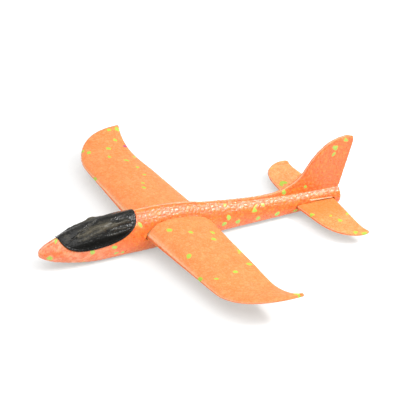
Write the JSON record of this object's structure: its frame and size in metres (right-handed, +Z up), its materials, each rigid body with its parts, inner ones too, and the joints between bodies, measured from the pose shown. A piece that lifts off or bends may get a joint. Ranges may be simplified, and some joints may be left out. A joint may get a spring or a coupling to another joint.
{
  "type": "toy airplane",
  "caption": "Hand-launched foam glider: push-through one-piece wing and tailplane, moulded-on fin, dark canopy and a balance weight in the nose.",
  "frame": {"origin": "on the flat strip under the belly, on the centre plane, about halfway along the 348 mm fuselage", "axes": "+X from the nose to the tail, +Y to the right wing tip, +Z up"},
  "size_m": [0.3606, 0.3818, 0.0795],
  "materials": {
    "orange_foam": "satin",
    "canopy_skin": "satin",
    "plated_steel": "satin"
  },
  "bodies": {
    "glider_body": {"fuselage": "orange_foam", "canopy": "canopy_skin", "nose_weight": "plated_steel"},
    "wing_panel": {"wing": "orange_foam"},
    "tail_panel": {"tailplane": "orange_foam"}
  },
  "joints": [
    {"name": "wing_slide", "type": "slide", "parent": "glider_body", "child": "wing_panel", "axis": [0, 1, 0], "range_m": [-0.155, 0.155]},
    {"name": "tail_slide", "type": "slide", "parent": "glider_body", "child": "tail_panel", "axis": [0, 1, 0], "range_m": [-0.067, 0.067]}
  ]
}
